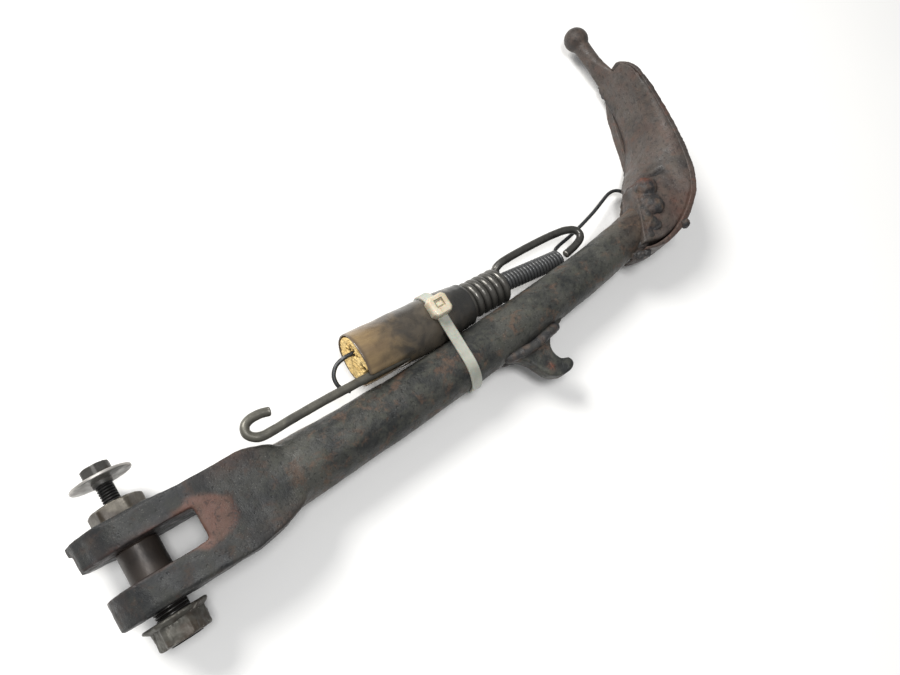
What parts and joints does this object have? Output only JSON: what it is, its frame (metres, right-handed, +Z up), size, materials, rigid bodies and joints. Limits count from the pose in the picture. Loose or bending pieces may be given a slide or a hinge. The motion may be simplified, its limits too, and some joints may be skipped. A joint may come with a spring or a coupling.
{
  "type": "motorcycle side stand",
  "caption": "Used motorcycle side stand: forged leg with a fork and pivot bolt, welded foot with a ball-ended lever, nested springs in a sleeve tied along the leg.",
  "frame": {"origin": "centre of the pivot bush, on the pivot axis, half way between the fork ears", "axes": "+X along the leg from the pivot to the foot; +Y along the pivot axis towards the bolt head and the switch screw; +Z up as the stand lies on the edges of its fork and foot"},
  "size_m": [0.3045, 0.1497, 0.0331],
  "materials": {
    "black_paint": "black chassis paint, worn and rusted",
    "foot_paint": "worn black paint over brown rust",
    "weld_steel": "painted weld bead, lumpy",
    "zinc_steel": "dull yellowed zinc plate, dirty",
    "bush_steel": "rusty brown, greasy",
    "nut_steel": "corroded olive grey",
    "lock_ring": "plain spring steel",
    "screw_black": "black oxide",
    "washer_zinc": "dull zinc plate",
    "spring_steel": "dark oiled spring steel",
    "sleeve_plastic": "shrunk brown-black plastic tube, glossy",
    "foam": "yellowed open-cell foam",
    "tie_nylon": "natural nylon"
  },
  "bodies": {
    "leg": {"leg_forging": "black_paint", "spring_horn": "black_paint", "horn_weld": "weld_steel", "foot_plate": "foot_paint", "sole_plate": "foot_paint", "foot_weld": "weld_steel", "sole_tack_welds": "weld_steel", "outer_spring_coil": "spring_steel", "inner_spring_coil": "spring_steel", "spring_sleeve": "sleeve_plastic", "foam_plug": "foam", "cable_tie": "tie_nylon"},
    "bolt": {"pivot_bolt": "zinc_steel"},
    "bush": {"pivot_bush": "bush_steel"},
    "lock_ring": {"nut_lock_ring": "lock_ring"},
    "nut": {"flange_nut": "nut_steel"},
    "washer": {"switch_washer": "washer_zinc"},
    "screw": {"switch_screw": "screw_black"},
    "outer_hook": {"outer_spring_hook": "spring_steel"},
    "inner_hook": {"inner_spring_hook": "spring_steel"}
  },
  "joints": [
    {"name": "bolt_spin", "type": "hinge", "parent": "leg", "child": "bolt", "pos_m": [0, 0, 0], "axis": [0, 1, 0], "continuous": true},
    {"name": "bush_spin", "type": "hinge", "parent": "leg", "child": "bush", "pos_m": [0, 0, 0], "axis": [0, 1, 0], "continuous": true},
    {"name": "nut_travel", "type": "slide", "parent": "bolt", "child": "lock_ring", "axis": [0, 1, 0], "range_m": [-0.004, 0.0028]},
    {"name": "nut_turn", "type": "hinge", "parent": "lock_ring", "child": "nut", "pos_m": [0, -0.0247, 0], "axis": [0, 1, 0], "range_deg": [-1153, 807.5]},
    {"name": "washer_travel", "type": "slide", "parent": "bolt", "child": "washer", "axis": [0, -1, 0], "range_m": [-0.004, 0.0088]},
    {"name": "screw_turn", "type": "hinge", "parent": "washer", "child": "screw", "pos_m": [0, 0.031, 0], "axis": [0, -1, 0], "range_deg": [-1441, 3169]},
    {"name": "outer_hook_pull", "type": "slide", "parent": "leg", "child": "outer_hook", "axis": [-0.9903, 0, 0.1392], "range_m": [0, 0.018], "stiffness_N_per_m": 600},
    {"name": "inner_hook_pull", "type": "slide", "parent": "leg", "child": "inner_hook", "axis": [-0.9945, 0, 0.1045], "range_m": [0, 0.012], "stiffness_N_per_m": 200}
  ],
  "couplings": [
    {"joint": "nut_turn", "follows": "nut_travel", "rad_per_m": 5026.5},
    {"joint": "screw_turn", "follows": "washer_travel", "rad_per_m": 6283.2}
  ]
}
